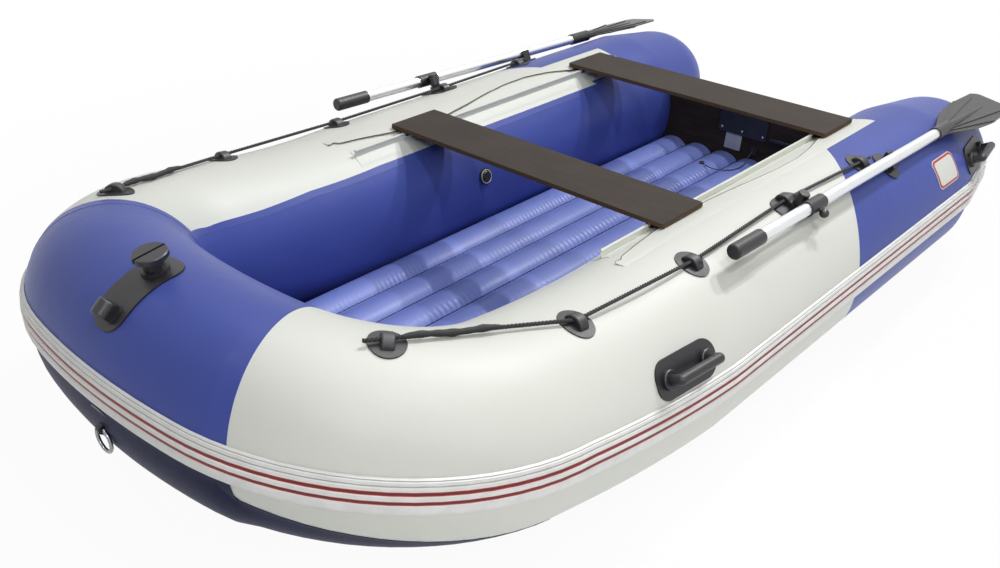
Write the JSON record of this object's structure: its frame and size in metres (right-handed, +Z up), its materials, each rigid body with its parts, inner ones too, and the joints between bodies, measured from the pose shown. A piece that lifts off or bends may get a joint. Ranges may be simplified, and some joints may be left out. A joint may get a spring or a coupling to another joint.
{
  "type": "inflatable boat",
  "caption": "Inflatable boat with a tapered U of air tubes, air-deck floor, plywood transom and sliding seats, stowed oars on swinging oarlocks, grab lines and carry handles.",
  "frame": {"origin": "on the ground under the middle of the boat's length, half way across it", "axes": "+X towards the bow, +Y to port, +Z up"},
  "size_m": [2.8598, 1.61, 0.6568],
  "materials": {
    "blue_pvc": "matte coated fabric",
    "white_pvc": "matte coated fabric",
    "navy_pvc": "matte coated fabric",
    "strake_pvc": "satin ribbed strake with two red stripes",
    "black_rubber": "satin",
    "black_plastic": "satin",
    "black_rope": "braided",
    "dark_plywood": "film-faced plywood, satin",
    "aluminium": "brushed",
    "steel": "satin"
  },
  "bodies": {
    "hull": {"bow_tube": "blue_pvc", "port_side_tube": "white_pvc", "starboard_side_tube": "white_pvc", "port_stern_cone": "blue_pvc", "starboard_stern_cone": "blue_pvc", "rub_strake": "strake_pvc", "bottom": "navy_pvc", "keel_strip": "black_rubber", "keel_tube": "navy_pvc", "floor": "blue_pvc", "transom": "dark_plywood", "transom_inner_plate": "black_plastic", "transom_outer_plate": "black_plastic", "drain_valve": "black_plastic", "drain_plug": "black_plastic", "tether_tab": "black_rubber", "bow_pad": "black_rubber", "bow_bollard": "black_plastic", "bow_fairlead": "black_plastic", "tow_patch": "black_rubber", "tow_ring": "steel", "inflation_valves": "black_plastic", "port_seat_rail": "white_pvc", "port_rope_guides": "black_rubber", "port_grab_line": "black_rope", "port_oarlock_base": "black_plastic", "port_oar_clip": "black_plastic", "port_side_handle": "black_rubber", "port_stern_handle": "black_rubber", "starboard_seat_rail": "white_pvc", "starboard_rope_guides": "black_rubber", "starboard_grab_line": "black_rope", "starboard_oarlock_base": "black_plastic", "starboard_oar_clip": "black_plastic", "starboard_side_handle": "black_rubber", "starboard_stern_handle": "black_rubber", "drain_tether": "black_rope"},
    "front_seat": {"front_seat": "dark_plywood", "front_seat_sliders": "black_plastic"},
    "rear_seat": {"rear_seat": "dark_plywood", "rear_seat_sliders": "black_plastic"},
    "port_oar": {"port_oarlock_head": "black_plastic", "port_oar_shaft": "aluminium", "port_oar_grip": "black_rubber", "port_oar_collar": "black_rubber", "port_oar_blade": "black_plastic"},
    "starboard_oar": {"starboard_oarlock_head": "black_plastic", "starboard_oar_shaft": "aluminium", "starboard_oar_grip": "black_rubber", "starboard_oar_collar": "black_rubber", "starboard_oar_blade": "black_plastic"}
  },
  "joints": [
    {"name": "port_oar_swing", "type": "hinge", "parent": "hull", "child": "port_oar", "pos_m": [-0.13199, 0.65402, 0.51639], "axis": [0, -0.3746, -0.9272], "range_deg": [0, 120]},
    {"name": "starboard_oar_swing", "type": "hinge", "parent": "hull", "child": "starboard_oar", "pos_m": [-0.13199, -0.65402, 0.51639], "axis": [0, -0.3746, 0.9272], "range_deg": [0, 120]},
    {"name": "front_seat_slide", "type": "slide", "parent": "hull", "child": "front_seat", "axis": [1, 0, 0], "range_m": [-0.25, 0.16]},
    {"name": "rear_seat_slide", "type": "slide", "parent": "hull", "child": "rear_seat", "axis": [1, 0, 0], "range_m": [-0.06, 0.25]}
  ]
}
